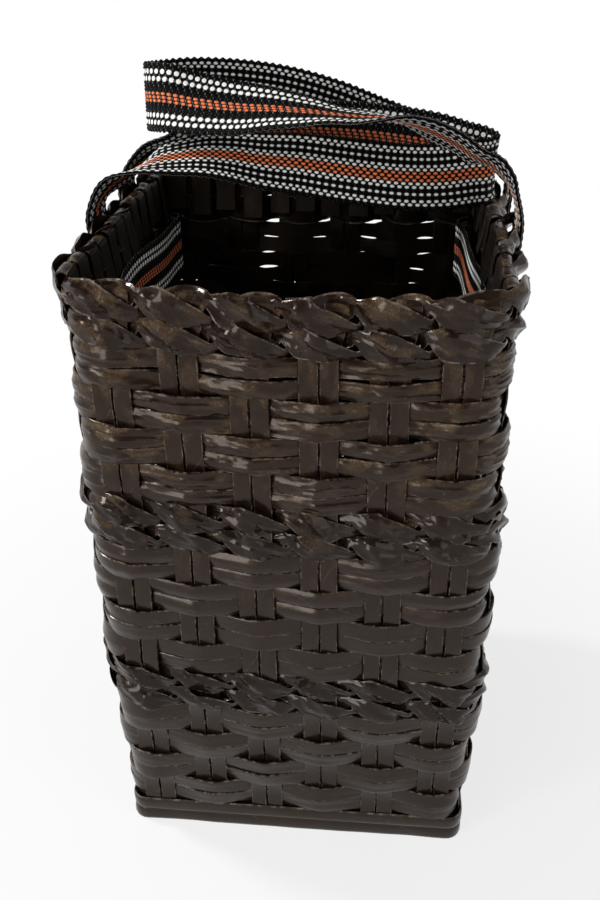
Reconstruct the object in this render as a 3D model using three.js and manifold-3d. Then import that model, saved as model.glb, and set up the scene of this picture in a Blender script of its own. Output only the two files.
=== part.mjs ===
// A tall square basket woven from flat paper strips, carried by two loops of striped webbing.
// Millimetres, +Z up, origin on the ground under the middle, front wall facing -Y.

import * as THREE from "three";
import { mergeVertices } from "three/addons/utils/BufferGeometryUtils.js";
import Module from "manifold-3d";

const wasm = await Module();
wasm.setup();

// Driving dimensions
const clearance = 0.3; // between pieces that lie against each other

const pairsPerWall = 6;
const stakePitch = 36; // from one pair of stakes to the next
const stakeWidth = 10;
const stakeThickness = 1.4;
const stakeSplit = 0.8; // between the two stakes of a pair
const stakeFoot = 6.5; // held flat between the two boards
const stakeBridge = 5; // part of the foot where the folded strip joins both stakes
const tailLength = 25; // end folded down inside the rim
const cornerRadius = 12; // of the line that the strips follow round a corner
const lowBulge = 5.5; // how far the wall stands out beyond its foot, under the low twined band
const midBulge = 7; // under the middle twined band
const slotFlare = 4; // at the strap slots
const rimFlare = 7; // at the rim

const boardThickness = 3;
const floorThickness = 2.4;
const floorCorner = 5;
const bandHeight = 19.6; // plain strip round the foot
const bandThickness = 1.4;
const bandToWeave = 1; // gap over the plain strip

const weaverWidth = 10.4;
const weaverThickness = 1.4;
const weaverGap = 0.85; // between neighbouring turns
const weaverEnd = 2; // how far the last turn runs past the middle of its last pair
const coursesPerGroup = 4;
const groupNames = ["low", "mid", "rim"]; // twined bands, each over its group of courses

const twineWidth = 11.5; // at the middle of each leaf
const twineNeck = 4.6; // where two strands swap places
const twineThickness = 1.4;
const twineRowGap = 2.4;
const twineRows = 2;
const twineEnd = 0.9; // share of the way back to its start where a strand ends

const strapWidth = 38;
const strapThickness = 2;
const strapSlot = 2.6; // height left under the rim band for the webbing to pass through
const strapNeckWidth = 12; // webbing bunched up inside the slot
const nearSlot = 0; // slots in pitches from the middle of a side wall, towards the back
const farSlot = 2;
const strapLap = 12; // free loop lying over the fixed end of the webbing
const runOverhang = 18; // flat run past each slot along the wall

// Colours
const paperBrown = { color: 0x3a302d, roughness: 0.38, metalness: 0 };
const boardBrown = { color: 0x2e2624, roughness: 0.7, metalness: 0 };
const webbingBlack = { color: 0x2b2727, roughness: 0.85, metalness: 0 };

// Wall plan, in the plane of the stakes
const wallHalf = (pairsPerWall * stakePitch) / 2;
const pairHalf = stakeWidth + stakeSplit / 2;
const outermostPair = ((pairsPerWall - 1) * stakePitch) / 2;
const pairCount = 4 * pairsPerWall;

// A strip peaks over the middle of each pair, high enough to clear the edges of the pair
const slantAllowance = 1.04; // a slanting strip is this much thicker across the wall
function reachOver(thickness) {
  const atPairEdge = stakeThickness / 2 + (slantAllowance * thickness) / 2 + clearance;
  return atPairEdge / (1 - pairHalf / (stakePitch / 2));
}
const weaverReach = reachOver(weaverThickness);
const twineReach = reachOver(twineThickness);
const stripHalfThickness = Math.max(weaverReach + weaverThickness / 2, twineReach + twineThickness / 2);
const wallFace = stripHalfThickness + clearance; // nearest plane clear of the woven strips, either way

// Twined rows: both strands cross the wall between two pairs, one over the other
const swapShare = (slantAllowance * twineThickness + clearance) / (2 * twineReach);
const twineAtSwap = twineNeck + (twineWidth - twineNeck) * swapShare;
const twineRise = (twineAtSwap + clearance) / (2 * (1 - swapShare));
const twineRowHeight = Math.max(twineWidth, 2 * twineRise + twineNeck) + twineRowGap;
const twineBandHeight = twineRows * twineRowHeight;

// Heights
const footMiddle = boardThickness + clearance + stakeThickness / 2;
const floorBottom = footMiddle + stakeThickness / 2 + clearance;
const courseHeight = 2 * (weaverWidth + weaverGap);
const groupHeight = coursesPerGroup * courseHeight;
const weaveBottom = bandHeight + bandToWeave;
const groupBottom = (group) => weaveBottom + group * (groupHeight + twineBandHeight);
const lastGroup = groupNames.length - 1;
const slotBottom = groupBottom(lastGroup) + groupHeight;
const twineBottom = (group) => groupBottom(group) + groupHeight + (group === lastGroup ? strapSlot : 0);
const weaveTop = twineBottom(lastGroup) + twineBandHeight;
const stakeTop = weaveTop + clearance + stakeThickness / 2;
const tailOffset = -(wallFace + stakeThickness / 2);
const tailBottom = stakeTop - tailLength;

// The wall bulges over its foot, draws in towards the strap slots and leans out to the rim
const wallProfile = [
  new THREE.Vector2(0, weaveBottom),
  new THREE.Vector2(lowBulge, twineBottom(0)),
  new THREE.Vector2(midBulge, twineBottom(1)),
  new THREE.Vector2(slotFlare, slotBottom),
  new THREE.Vector2(rimFlare, stakeTop),
];
function flareAt(z) {
  let above = wallProfile.findIndex((knot, i) => i > 0 && knot.y >= z);
  if (above < 0) above = wallProfile.length - 1;
  const from = wallProfile[above - 1];
  const to = wallProfile[above];
  const share = Math.max((z - from.y) / (to.y - from.y), 0);
  return from.x + (to.x - from.x) * share;
}

const basket = new THREE.Group();

function addPiece(name, geometry, finish, quarterTurns = 0) {
  const mesh = new THREE.Mesh(geometry, new THREE.MeshStandardMaterial(finish));
  mesh.name = name;
  mesh.rotation.z = (quarterTurns * Math.PI) / 2;
  basket.add(mesh);
}

// Mesh helpers

function geometryFrom(points, triangles) {
  const geometry = new THREE.BufferGeometry();
  const positions = points.flatMap((point) => [point.x, point.y, point.z]);
  geometry.setAttribute("position", new THREE.Float32BufferAttribute(positions, 3));
  geometry.setIndex(triangles.flat());
  geometry.computeVertexNormals();
  return geometry;
}

// Sweeps a flat section along stations; each section lists its corners outer-top, outer-bottom,
// inner-bottom, inner-top. Both broad faces are split along the same diagonal, so a twisted strip keeps
// its thickness
function sweptStrip(sections) {
  const triangles = [];
  for (let i = 0; i + 1 < sections.length; i += 1) {
    for (let k = 0; k < 4; k += 1) {
      const next = (k + 1) % 4;
      const [a, b, c, d] = [4 * i + k, 4 * i + 4 + k, 4 * i + 4 + next, 4 * i + next];
      if (k < 2) triangles.push([a, d, c], [a, c, b]);
      else triangles.push([a, d, b], [d, c, b]);
    }
  }
  const last = 4 * (sections.length - 1);
  triangles.push([0, 3, 2], [0, 2, 1]);
  triangles.push([last, last + 1, last + 2], [last, last + 2, last + 3]);
  return geometryFrom(sections.flat(), triangles);
}

// Side offset of a bent line that keeps its thickness through each bend; right of travel is outside
function mitre(before, here, after) {
  const normals = [];
  if (before) normals.push(rightOf(before, here));
  if (after) normals.push(rightOf(here, after));
  const sum = normals.reduce((total, normal) => total.add(normal), new THREE.Vector2()).normalize();
  return sum.divideScalar(sum.dot(normals[0]));
}

function rightOf(from, to) {
  const step = new THREE.Vector2().subVectors(to, from).normalize();
  return new THREE.Vector2(step.y, -step.x);
}

// A strip standing on edge along a plan route; each station has its own height and width, and a tilt,
// the step outward for each step up
function standingStrip(stations, thickness) {
  const plan = stations.map((station) => station.plan);
  const sections = stations.map((station, i) => {
    const side = mitre(plan[i - 1], plan[i], plan[i + 1]).multiplyScalar(thickness / 2);
    const corner = (sign, up) =>
      new THREE.Vector3(
        station.plan.x + sign * side.x + (up * station.width * station.tilt.x) / 2,
        station.plan.y + sign * side.y + (up * station.width * station.tilt.y) / 2,
        station.z + (up * station.width) / 2,
      );
    return [corner(1, 1), corner(1, -1), corner(-1, -1), corner(-1, 1)];
  });
  return sweptStrip(sections);
}

// Boards and foot band

function roundedSquare(Outline, half, radius) {
  const outline = new Outline();
  const inner = half - radius;
  outline.moveTo(-inner, -half);
  outline.absarc(inner, -inner, radius, -Math.PI / 2, 0, false);
  outline.absarc(inner, inner, radius, 0, Math.PI / 2, false);
  outline.absarc(-inner, inner, radius, Math.PI / 2, Math.PI, false);
  outline.absarc(-inner, -inner, radius, Math.PI, 1.5 * Math.PI, false);
  outline.closePath();
  return outline;
}

function slab(outline, bottom, height) {
  const geometry = new THREE.ExtrudeGeometry(outline, { depth: height, bevelEnabled: false, curveSegments: 4 });
  geometry.translate(0, 0, bottom);
  return geometry;
}

const pairOuterEdge = outermostPair + pairHalf;
const bandInnerHalf = wallHalf + stakeThickness / 2 + clearance;
const bandInnerRadius = bandInnerHalf - pairOuterEdge;

const boardOutline = roundedSquare(THREE.Shape, bandInnerHalf - clearance, bandInnerRadius - clearance);
addPiece("bottom_board", slab(boardOutline, 0, boardThickness), boardBrown);

const floorHalf = wallHalf - stakeThickness / 2 - clearance;
const floorOutline = roundedSquare(THREE.Shape, floorHalf, floorCorner);
addPiece("floor_board", slab(floorOutline, floorBottom, floorThickness), boardBrown);

const bandOutline = roundedSquare(THREE.Shape, bandInnerHalf + bandThickness, bandInnerRadius + bandThickness);
bandOutline.holes.push(roundedSquare(THREE.Path, bandInnerHalf, bandInnerRadius));
addPiece("base_band", slab(bandOutline, 0, bandHeight), paperBrown);

// Stake pairs: one strip folded in half at the foot, both ends folded inward over the rim

function stakePair(middle) {
  // route across the wall: outward offset and height
  const route = [
    new THREE.Vector2(-stakeFoot, footMiddle),
    new THREE.Vector2(-stakeFoot + stakeBridge, footMiddle),
    new THREE.Vector2(0, footMiddle),
    ...wallProfile,
    new THREE.Vector2(flareAt(stakeTop) + tailOffset, stakeTop),
    new THREE.Vector2(flareAt(tailBottom) + tailOffset, tailBottom),
  ];
  const columns = [-pairHalf, -stakeSplit / 2, stakeSplit / 2, pairHalf];
  const bridgeColumn = 1;
  const hasCell = (row, column) =>
    row >= 0 && row + 1 < route.length && column >= 0 && column < 3 && (column !== bridgeColumn || row === 0);

  const points = [];
  const index = (row, column, side) => 2 * (row * columns.length + column) + side;
  route.forEach((point, row) => {
    const side = mitre(route[row - 1], point, route[row + 1]).multiplyScalar(stakeThickness / 2);
    for (const along of columns) {
      for (const sign of [1, -1]) {
        const offset = point.x + sign * side.x;
        points.push(new THREE.Vector3(middle + along, -(wallHalf + offset), point.y + sign * side.y));
      }
    }
  });

  const triangles = [];
  const quad = (a, b, c, d) => triangles.push([a, b, c], [a, c, d]);
  for (let row = 0; row + 1 < route.length; row += 1) {
    for (let column = 0; column < 3; column += 1) {
      if (!hasCell(row, column)) continue;
      const [a, b] = [index(row, column, 0), index(row, column + 1, 0)];
      const [d, c] = [index(row + 1, column, 0), index(row + 1, column + 1, 0)];
      quad(a, b, c, d);
      quad(a + 1, d + 1, c + 1, b + 1);
      if (!hasCell(row, column - 1)) quad(a, d, d + 1, a + 1);
      if (!hasCell(row, column + 1)) quad(b, b + 1, c + 1, c);
      if (!hasCell(row - 1, column)) quad(a, a + 1, b + 1, b);
      if (!hasCell(row + 1, column)) quad(d, c, c + 1, d + 1);
    }
  }
  return mergeVertices(dropUnused(points, triangles));
}

function dropUnused(points, triangles) {
  const used = [...new Set(triangles.flat())];
  const renumbered = new Map(used.map((old, i) => [old, i]));
  const kept = used.map((old) => points[old]);
  return geometryFrom(kept, triangles.map((triangle) => triangle.map((old) => renumbered.get(old))));
}

const wallNames = ["front", "right", "back", "left"];
wallNames.forEach((wall, quarterTurns) => {
  for (let pair = 0; pair < pairsPerWall; pair += 1) {
    const middle = pair * stakePitch - outermostPair;
    addPiece(`stake_pair_${wall}_${pair + 1}`, stakePair(middle), paperBrown, quarterTurns);
  }
});

// Plan points on the wall line: pairs count counterclockwise from the front left corner

function onWall(wall, along, offset) {
  return new THREE.Vector2(along, -(wallHalf + offset)).rotateAround(new THREE.Vector2(), (wall * Math.PI) / 2);
}

function onCorner(wall, offset) {
  const centre = wallHalf - cornerRadius;
  const reach = (cornerRadius + offset) * Math.SQRT1_2;
  return new THREE.Vector2(centre + reach, -centre - reach).rotateAround(new THREE.Vector2(), (wall * Math.PI) / 2);
}

const wallOf = (pair) => Math.floor(pair / pairsPerWall) % 4;
const alongWall = (pair) => (pair % pairsPerWall) * stakePitch - outermostPair;
const isLastOnWall = (pair) => pair % pairsPerWall === pairsPerWall - 1;

const edgeMargin = 1.2; // corner stations stand this far past the edge of the last pair
const edgeAlong = pairHalf + edgeMargin;
const edgeOffset = (thickness) => stakeThickness / 2 + thickness / 2 + 1.6 * clearance;
const edgeShare = 1 - edgeAlong / (stakePitch / 2); // how far from a crossing to the next peak

// Weavers: each goes round twice, over one pair and under the next

function weaverCourse(startPair, bottom) {
  const stations = [];
  const low = bottom + weaverGap / 2 + weaverWidth / 2;
  const high = low + weaverWidth + weaverGap;
  const add = (place, offset, z) => {
    const plan = place(offset + flareAt(z));
    const tilt = place(offset + flareAt(z + 1)).sub(plan);
    stations.push({ plan, z, width: weaverWidth, tilt });
  };
  const lastStep = 2 * pairCount - 1;
  for (let step = 0; step <= lastStep; step += 1) {
    const pair = startPair + step;
    const side = step % 2 === 0 ? -1 : 1; // starts inside the wall
    const wall = wallOf(pair);
    const along = alongWall(pair);
    const z = step < pairCount ? low : high;
    add((out) => onWall(wall, along, out), side * weaverReach, z);
    if (step === lastStep) {
      const peakShare = 1 - (2 * weaverEnd) / stakePitch;
      add((out) => onWall(wall, along + weaverEnd, out), side * weaverReach * peakShare, z);
    } else if (isLastOnWall(pair)) {
      const climb = step + 1 === pairCount ? (high - low) / 4 : 0;
      const edge = edgeOffset(weaverThickness);
      add((out) => onWall(wall, along + edgeAlong, out), side * edge, z + climb);
      add((out) => onCorner(wall, out), 0, z + 2 * climb);
      add((out) => onWall(wall + 1, -along - edgeAlong, out), -side * edge, z + 3 * climb);
    }
  }
  return standingStrip(stations, weaverThickness);
}

// The first pair after the back left corner, where each weaver starts, or the one before it
const seamPair = 3 * pairsPerWall;

groupNames.forEach((group, groupIndex) => {
  for (let course = 0; course < coursesPerGroup; course += 1) {
    const number = groupIndex * coursesPerGroup + course;
    const startPair = seamPair - (number % 2 === 0 ? 0 : 1);
    const bottom = groupBottom(groupIndex) + course * courseHeight;
    const name = `weaver_${String(number + 1).padStart(2, "0")}`;
    addPiece(name, weaverCourse(startPair, bottom), paperBrown);
  }
});

// Twined rows: a strand comes out of the wall high, crosses a pair as a slanting leaf, goes in low

function twineStrand(startPair, middle) {
  const stations = [];
  const add = (place, offset, rise, share) => {
    const width = twineNeck + (twineWidth - twineNeck) * share;
    const z = middle + rise * (1 - share);
    const plan = place(offset + flareAt(z));
    const tilt = place(offset + flareAt(z + 1)).sub(plan);
    stations.push({ plan, z, width, tilt });
  };
  for (let step = 0; step < pairCount; step += 1) {
    const pair = startPair + step;
    const side = step % 2 === 0 ? -1 : 1;
    const rise = -side * twineRise; // after an inside pair the strand comes out high
    const wall = wallOf(pair);
    const along = alongWall(pair);
    add((out) => onWall(wall, along, out), side * twineReach, 0, 1);
    if (isLastOnWall(pair)) {
      const edge = edgeOffset(twineThickness);
      add((out) => onWall(wall, along + edgeAlong, out), side * edge, rise, edgeShare);
      add((out) => onCorner(wall, out), 0, rise, 0);
      add((out) => onWall(wall + 1, -along - edgeAlong, out), -side * edge, rise, edgeShare);
    } else {
      add((out) => onWall(wall, along + stakePitch / 2, out), 0, rise, 0);
    }
  }
  // the strand ends just short of its own start
  const first = stations[0];
  const before = stations[stations.length - 1];
  stations.push({
    plan: new THREE.Vector2().lerpVectors(before.plan, first.plan, twineEnd),
    z: THREE.MathUtils.lerp(before.z, first.z, twineEnd),
    width: THREE.MathUtils.lerp(before.width, first.width, twineEnd),
    tilt: first.tilt,
  });
  return standingStrip(stations, twineThickness);
}

groupNames.forEach((group, groupIndex) => {
  for (let row = 0; row < twineRows; row += 1) {
    const middle = twineBottom(groupIndex) + (row + 0.5) * twineRowHeight;
    ["a", "b"].forEach((strand, i) => {
      addPiece(`twine_${group}_${row + 1}${strand}`, twineStrand(seamPair + 1 + i, middle), paperBrown);
    });
  }
});

// Webbing held by the wall: a flat run inside, a neck through each slot, an upright end outside

function toSolid(geometry) {
  const bare = geometry.clone();
  bare.deleteAttribute("normal");
  bare.deleteAttribute("uv");
  const merged = mergeVertices(bare);
  const vertProperties = new Float32Array(merged.attributes.position.array);
  const triVerts = new Uint32Array(merged.index.array);
  return new wasm.Manifold(new wasm.Mesh({ numProp: 3, vertProperties, triVerts }));
}

function fromSolid(solid) {
  const mesh = solid.getMesh();
  const geometry = new THREE.BufferGeometry();
  geometry.setAttribute("position", new THREE.Float32BufferAttribute(mesh.vertProperties, 3));
  geometry.setIndex([...mesh.triVerts]);
  geometry.computeVertexNormals();
  return geometry;
}

function block(x, y, z) {
  const geometry = new THREE.BoxGeometry(x[1] - x[0], y[1] - y[0], z[1] - z[0]);
  geometry.translate((x[0] + x[1]) / 2, (y[0] + y[1]) / 2, (z[0] + z[1]) / 2);
  return toSolid(geometry);
}

const slotPlaces = [nearSlot * stakePitch, farSlot * stakePitch];
const runMiddle = slotFlare - (wallFace + strapThickness / 2);
const fixedMiddle = rimFlare + wallFace + strapThickness / 2;
const runTop = tailBottom - 3 * clearance;
const neckBottom = slotBottom - weaverGap / 2 + clearance;
const neckTop = twineBottom(lastGroup) + twineRowGap / 2 - clearance;
const fixedTop = stakeTop;
const fixedBottom = neckBottom - strapThickness;

function strapAnchor(side) {
  // distances are measured outward from the plane of the stakes, on the left (-1) or right (+1) wall
  const across = (from, to) => [side * (wallHalf + from), side * (wallHalf + to)].sort((a, b) => a - b);
  const half = strapThickness / 2;
  const runAlong = [slotPlaces[0] - strapWidth / 2 - runOverhang, slotPlaces[1] + strapNeckWidth / 2];
  let solid = block(across(runMiddle - half, runMiddle + half), runAlong, [runTop - strapWidth, runTop]);
  for (const place of slotPlaces) {
    const neck = [place - strapNeckWidth / 2, place + strapNeckWidth / 2];
    const upright = [place - strapWidth / 2, place + strapWidth / 2];
    solid = solid.add(block(across(runMiddle, fixedMiddle), neck, [neckBottom, neckTop]));
    solid = solid.add(block(across(fixedMiddle - half, fixedMiddle + half), upright, [fixedBottom, fixedTop]));
  }
  return fromSolid(solid);
}

addPiece("left_strap_anchor", strapAnchor(-1), webbingBlack);
addPiece("right_strap_anchor", strapAnchor(1), webbingBlack);

// Free loops: routes are [inward from the hinge, back along the wall, above the rim, lean], where lean
// turns the width of the webbing from level, front to back, at 0 to upright at 90

const freeMiddle = fixedMiddle + strapThickness + clearance;
const hingeOut = wallHalf + freeMiddle + strapThickness / 2;
const hingeHeight = fixedTop - strapLap;

const leftRoute = [
  [12, 1, 18, -18], [27, 2, 26, -6], [40, 3, 31, 12], [54, 5, 33, 20], [67, 6, 35, 26],
  [81, 8, 35, 32], [101, 10, 30, 43], [121, 12, 28, 52], [142, 13, 25, 58], [163, 15, 22, 62],
  [181, 17, 20, 66], [204, 22, 19, 70], [222, 28, 20, 76], [232, 34, 20, 82], [235, 41, 21, 86],
  [230, 48, 23, 88], [216, 53, 26, 90], [200, 56, 30, 90], [179, 59, 33, 90], [141, 62, 36, 92],
  [92, 66, 35, 100], [60, 68, 30, 116], [38, 70, 25, 146], [20, 72, 20, 154],
];
const rightRoute = [
  [10, -1, 24, -14], [18, -4, 32, -22], [29, -7, 38, -26], [38, -8, 44, -28], [55, -8, 52, -26],
  [66, -6, 55, -18], [77, -4, 56, -8], [92, -1, 56, 0], [107, 1, 57, 4], [120, 3, 58, 13],
  [140, 6, 58, 25], [160, 10, 57, 38], [187, 14, 60, 52], [206, 20, 63, 68], [217, 30, 62, 78],
  [222, 44, 60, 86], [219, 58, 59, 88], [202, 71, 59, 88], [171, 79, 57, 88], [140, 83, 52, 88],
  [115, 85, 45, 90], [87, 86, 35, 96], [58, 86, 26, 112], [31, 82, 19, 140], [12, 75, 13, 168],
];

function handleLoop(side, route) {
  const outside = side * (wallHalf + freeMiddle);
  const level = [nearSlot, farSlot].map((slot) => slot * stakePitch);
  const upright = [hingeHeight, fixedTop + 2 * strapThickness];
  const stations = [];
  const add = (x, y, z, lean, climb = 0) => stations.push({ at: new THREE.Vector3(x, y, z), lean, climb });
  upright.forEach((z) => add(outside, level[0], z, 0, 1));
  for (const [inward, back, above, lean] of route) {
    add(side * (hingeOut - inward), back, stakeTop + above, lean);
  }
  upright.reverse().forEach((z) => add(outside, level[1], z, 180, -1));

  const sections = stations.map((station, i) => {
    const before = stations[Math.max(i - 1, 0)].at;
    const after = stations[Math.min(i + 1, stations.length - 1)].at;
    const onRoute = new THREE.Vector3().subVectors(after, before).normalize();
    const travel = station.climb ? new THREE.Vector3(0, 0, station.climb) : onRoute;
    const lean = THREE.MathUtils.degToRad(station.lean);
    const wide = new THREE.Vector3(0, Math.cos(lean), Math.sin(lean));
    wide.addScaledVector(travel, -wide.dot(travel)).normalize();
    const thick = new THREE.Vector3().crossVectors(travel, wide);
    const corner = (out, up) =>
      station.at
        .clone()
        .addScaledVector(thick, (out * strapThickness) / 2)
        .addScaledVector(wide, (up * strapWidth) / 2);
    return [corner(1, 1), corner(1, -1), corner(-1, -1), corner(-1, 1)];
  });
  return sweptStrip(sections);
}

addPiece("left_handle", handleLoop(-1, leftRoute), webbingBlack);
addPiece("right_handle", handleLoop(1, rightRoute), webbingBlack);

export default basket;
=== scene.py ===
import math
import random

import bpy
import numpy as np
from mathutils import Matrix, Vector, noise


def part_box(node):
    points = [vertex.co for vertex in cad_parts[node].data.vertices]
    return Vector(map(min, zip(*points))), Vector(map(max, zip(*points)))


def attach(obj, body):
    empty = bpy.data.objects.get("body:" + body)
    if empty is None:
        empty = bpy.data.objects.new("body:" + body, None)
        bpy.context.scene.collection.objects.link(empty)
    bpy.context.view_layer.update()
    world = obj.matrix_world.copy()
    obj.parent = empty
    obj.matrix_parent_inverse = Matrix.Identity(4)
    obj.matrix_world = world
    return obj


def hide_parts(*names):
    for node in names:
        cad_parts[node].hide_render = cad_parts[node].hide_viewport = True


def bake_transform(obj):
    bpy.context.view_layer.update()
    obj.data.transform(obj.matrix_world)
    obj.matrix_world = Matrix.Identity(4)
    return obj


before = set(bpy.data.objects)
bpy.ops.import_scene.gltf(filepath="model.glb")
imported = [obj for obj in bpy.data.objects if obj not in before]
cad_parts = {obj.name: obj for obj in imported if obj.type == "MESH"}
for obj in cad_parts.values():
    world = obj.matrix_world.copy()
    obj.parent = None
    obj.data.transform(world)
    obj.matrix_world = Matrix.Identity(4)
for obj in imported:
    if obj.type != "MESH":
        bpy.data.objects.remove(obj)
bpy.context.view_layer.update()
print("frame loaded:", len(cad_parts), "nodes")

mm = 0.001

# wall plan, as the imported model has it, in millimetres
wall = {
    "half": 108.0,  # plane of the stakes
    "pitch": 36.0,
    "pairs": 6,
    "cornerRadius": 12.0,
    "slotBottom": 351.1,
    "rimTop": 384.9,
    "profile": [(20.6, 0.0), (110.6, 5.5), (230.8, 7.0), (351.1, 4.0), (384.9, 7.0)],  # height, outward
}
# the front wall has sunk and bowed out a little with use, most of all in its middle
settling = {
    "sag": 5.5,  # how far the rim has sunk in the middle of the front wall
    "slump": 4.0,  # and at the front right corner
    "belly": 2.5,  # how far the middle of the front wall bows out
    "halfWidth": 112.0,
    "sinkFrom": 10.0,  # in front of the middle of the basket
    "sinkOver": 95.0,
    "bowFrom": 70.0,
    "bowOver": 30.0,
    "bowTop": 0.75,  # share of a half wave from the foot to the rim
}
outermost = (wall["pairs"] - 1) * wall["pitch"] / 2
pairCount = 4 * wall["pairs"]
wallNames = ["front", "right", "back", "left"]


def smooth(t):
    t = np.clip(t, 0.0, 1.0)
    return t * t * (3 - 2 * t)


def flareAt(z):
    heights, outward = zip(*wall["profile"])
    return np.interp(z, heights, outward)


def settled(points):
    x, y, z = points[..., 0], points[..., 1], points[..., 2]
    front = smooth((-y - settling["sinkFrom"]) / settling["sinkOver"])
    middle = np.clip(1 - (x / settling["halfWidth"]) ** 2, 0, 1)
    toRight = np.clip(0.5 + x / (2 * settling["halfWidth"]), 0, 1)
    height = np.clip(z / wall["rimTop"], 0, 1.05)
    sink = front * height**1.5 * (settling["sag"] * middle + settling["slump"] * toRight)
    wave = np.sin(np.pi * np.clip(height * settling["bowTop"], 0, 1))
    bow = smooth((-y - settling["bowFrom"]) / settling["bowOver"]) * settling["belly"] * middle * wave
    return points - np.stack([np.zeros(x.shape), bow, sink], axis=-1)


def turned(x, y, quarters):
    c = [1, 0, -1, 0][quarters % 4]
    s = [0, 1, 0, -1][quarters % 4]
    return c * x - s * y, s * x + c * y


# a place on the wall line: whole numbers are pair middles, counted counterclockwise from front left
def perimeter(place):
    pair = math.floor(place)
    share = place - pair
    quarters = pair // wall["pairs"]
    index = pair % wall["pairs"]
    radius = wall["cornerRadius"]
    straight = wall["half"] - radius
    if index < wall["pairs"] - 1:
        x, y, nx, ny = (index + share) * wall["pitch"] - outermost, -wall["half"], 0.0, -1.0
    else:
        lead = straight - outermost
        arc = radius * math.pi / 2
        d = share * (2 * lead + arc)
        if d < lead:
            x, y, nx, ny = outermost + d, -wall["half"], 0.0, -1.0
        elif d < lead + arc:
            angle = (d - lead) / radius
            nx, ny = math.sin(angle), -math.cos(angle)
            x, y = straight + radius * nx, -straight + radius * ny
        else:
            x, y, nx, ny = wall["half"], -straight + d - lead - arc, 1.0, 0.0
    x, y = turned(x, y, quarters)
    nx, ny = turned(nx, ny, quarters)
    return x, y, nx, ny


# mesh making

def unit(vectors):
    return vectors / np.linalg.norm(vectors, axis=-1, keepdims=True)


# how far along a line each of its points is
def runLength(points):
    steps = np.linalg.norm(np.diff(points, axis=0), axis=1)
    return np.concatenate([[0.0], np.cumsum(steps)])


# directions across a strip and out of its face, square to the way along it
def squared(centres, wides):
    along = unit(np.gradient(centres, axis=0))
    wides = unit(wides - along * (wides * along).sum(axis=1, keepdims=True))
    return wides, np.cross(along, wides)


# a strip that follows the wall line: its middle, and its directions across and out
def onWall(places, offset, z):
    plan = np.array([perimeter(place) for place in places])
    centres = np.stack([plan[:, 0] + plan[:, 2] * offset, plan[:, 1] + plan[:, 3] * offset, z], axis=1)
    lean = (flareAt(z + 1) - flareAt(z))[:, None]
    wides = np.stack([plan[:, 2], plan[:, 3], np.zeros(len(places))], axis=1) * lean + [0.0, 0.0, 1.0]
    wides, outs = squared(centres, wides)
    return centres, wides, outs


def rollBy(wides, outs, angles):
    c = np.cos(angles)[:, None]
    s = np.sin(angles)[:, None]
    return wides * c + outs * s, outs * c - wides * s


# each strip is (rings, grid): the rings are closed and follow each other along it, and the grid holds uv
# and nearness to an edge, with one more column for the uv seam
def makeMesh(name, strips, material, smoothAngle):
    vertices, faces, uvs, edges = [], [], [], []
    for rings, grid in strips:
        base = sum(len(part) for part in vertices)
        count, around = rings.shape[:2]
        rows = np.arange(count - 1)[:, None] * around
        here = np.arange(around)[None, :]
        there = (here + 1) % around
        corners = [rows + here, rows + there, rows + around + there, rows + around + here]
        faces += (np.stack(corners, axis=-1).reshape(-1, 4) + base).tolist()
        uvRows = np.arange(count - 1)[:, None] * (around + 1)
        below = uvRows + here
        above = below + around + 1
        flat = grid[..., :2].reshape(-1, 2)
        edges.append(grid[:, :-1, 2].ravel())
        uvs.append(flat[np.stack([below, below + 1, above + 1, above], axis=-1).reshape(-1)])
        faces.append([base + k for k in range(around)][::-1])
        uvs.append(flat[:around][::-1])
        faces.append([base + (count - 1) * around + k for k in range(around)])
        uvs.append(flat[(count - 1) * (around + 1):][:around])
        vertices.append(rings.reshape(-1, 3) * mm)
    mesh = bpy.data.meshes.new(name)
    mesh.from_pydata(np.concatenate(vertices).tolist(), [], faces)
    mesh.uv_layers.new(name="strip").data.foreach_set("uv", np.concatenate(uvs).astype(np.float32).ravel())
    edge = mesh.attributes.new("edge", "FLOAT", "POINT")
    edge.data.foreach_set("value", np.concatenate(edges).astype(np.float32))
    mesh.polygons.foreach_set("use_smooth", [True] * len(faces))
    mesh.set_sharp_from_angle(angle=math.radians(smoothAngle))
    mesh.materials.append(material)
    piece = bpy.data.objects.new(name, mesh)
    bpy.context.scene.collection.objects.link(piece)
    return piece


def makePaper(node, strips, material, smoothAngle=50):
    piece = makeMesh("paper_" + node, strips, material, smoothAngle)
    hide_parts(node)
    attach(piece, "basket")


# a section is its outer face and its inner face, from the top down: (across, out), each from -1 to 1
fineMarks = [1.0, 0.98, 0.94, 0.84, 0.62, 0.4, 0.2, 0.0, -0.2, -0.4, -0.62, -0.84, -0.94, -0.98, -1.0]
plainMarks = [1.0, 0.95, 0.7, 0.25, -0.25, -0.7, -0.95, -1.0]


def section(marks, outer, inner):
    places = [-across for across, out in outer]
    heights = np.interp([-mark for mark in marks], places, [out for across, out in outer])
    return {"outer": len(marks), "points": [*zip(marks, heights.tolist()), *inner]}


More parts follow.
